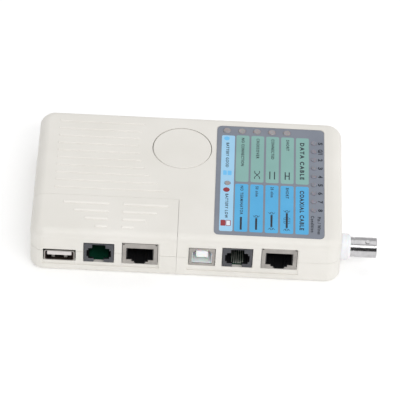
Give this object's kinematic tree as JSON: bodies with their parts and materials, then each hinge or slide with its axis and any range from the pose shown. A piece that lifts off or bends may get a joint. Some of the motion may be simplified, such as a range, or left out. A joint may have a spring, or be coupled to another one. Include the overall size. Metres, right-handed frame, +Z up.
{
  "type": "network cable tester",
  "caption": "Hand-held network cable tester: a main unit with a detachable remote in its corner, modular, USB and coaxial sockets, indicator lamps and a round test button.",
  "frame": {"origin": "centre of the case's flat underside", "axes": "+X along the case towards the BNC jack, +Y to the back, away from the ports, +Z up out of the label face"},
  "size_m": [0.1621, 0.085, 0.0255],
  "materials": {
    "ivory_abs": "satin moulded",
    "label_film": "printed film",
    "green_board": "solder mask",
    "black_plastic": "moulded",
    "grey_black_plastic": "moulded",
    "white_plastic": "moulded",
    "ptfe": "turned",
    "tinned_steel": "tinned sheet",
    "nickel_plate": "bright nickel",
    "gold_contact": "gold flash",
    "zinc_screw": "zinc plated",
    "lamp_lens": "diffused",
    "battery_sleeve": "printed sleeve",
    "red_wire": "PVC"
  },
  "bodies": {
    "main_unit": {"main_top_case": "ivory_abs", "main_bottom_case": "ivory_abs", "label": "label_film", "main_board": "green_board", "main_rj45_insert": "black_plastic", "battery_snap": "black_plastic", "lead_black": "black_plastic", "microcontroller": "black_plastic", "main_rj11_housing": "grey_black_plastic", "switch_body": "grey_black_plastic", "usb_b_insert": "white_plastic", "bnc_housing": "white_plastic", "bnc_insulator": "ptfe", "main_rj45_shield": "tinned_steel", "usb_b_shield": "tinned_steel", "bnc_barrel": "nickel_plate", "main_rj45_contacts": "gold_contact", "main_rj11_contacts": "gold_contact", "bnc_center_contact": "gold_contact", "case_screw_1": "zinc_screw", "case_screw_2": "zinc_screw", "case_screw_3": "zinc_screw", "case_screw_4": "zinc_screw", "board_screw_1": "zinc_screw", "board_screw_2": "zinc_screw", "lamp_battery_good": "lamp_lens", "lamp_no_connection": "lamp_lens", "lamp_crossover": "lamp_lens", "lamp_connected": "lamp_lens", "lamp_short": "lamp_lens", "lamp_battery_low": "lamp_lens", "lamp_shield": "lamp_lens", "lamp_pin_1": "lamp_lens", "lamp_pin_2": "lamp_lens", "lamp_pin_3": "lamp_lens", "lamp_pin_4": "lamp_lens", "lamp_pin_5": "lamp_lens", "lamp_pin_6": "lamp_lens", "lamp_pin_7": "lamp_lens", "lamp_pin_8": "lamp_lens", "battery": "battery_sleeve", "lead_red": "red_wire"},
    "remote_unit": {"remote_top_case": "ivory_abs", "remote_bottom_case": "ivory_abs", "remote_board": "green_board", "remote_rj11_housing": "grey_black_plastic", "remote_rj11_contacts": "gold_contact", "remote_rj45_shield": "tinned_steel", "remote_rj45_insert": "black_plastic", "remote_rj45_contacts": "gold_contact", "usb_a_shield": "tinned_steel", "usb_a_tongue": "white_plastic", "remote_screw_1": "zinc_screw", "remote_screw_2": "zinc_screw", "resistor_network": "black_plastic"},
    "battery_cover_body": {"battery_cover": "ivory_abs"},
    "button": {"test_button": "ivory_abs"},
    "plunger": {"switch_plunger": "grey_black_plastic"}
  },
  "joints": [
    {"name": "test_button_press", "type": "slide", "parent": "main_unit", "child": "button", "axis": [0, 0, -1], "range_m": [0, 0.0008], "stiffness_N_per_m": 1500},
    {"name": "switch_plunger_travel", "type": "slide", "parent": "main_unit", "child": "plunger", "axis": [0, 0, -1], "range_m": [0, 0.0008]},
    {"name": "remote_undock", "type": "slide", "parent": "main_unit", "child": "remote_unit", "axis": [0, -1, 0], "range_m": [0, 0.04]},
    {"name": "battery_cover_slide", "type": "slide", "parent": "main_unit", "child": "battery_cover_body", "axis": [-1, 0, 0], "range_m": [0, 0.062]}
  ],
  "couplings": [
    {"joint": "switch_plunger_travel", "follows": "test_button_press", "ratio": 1}
  ]
}
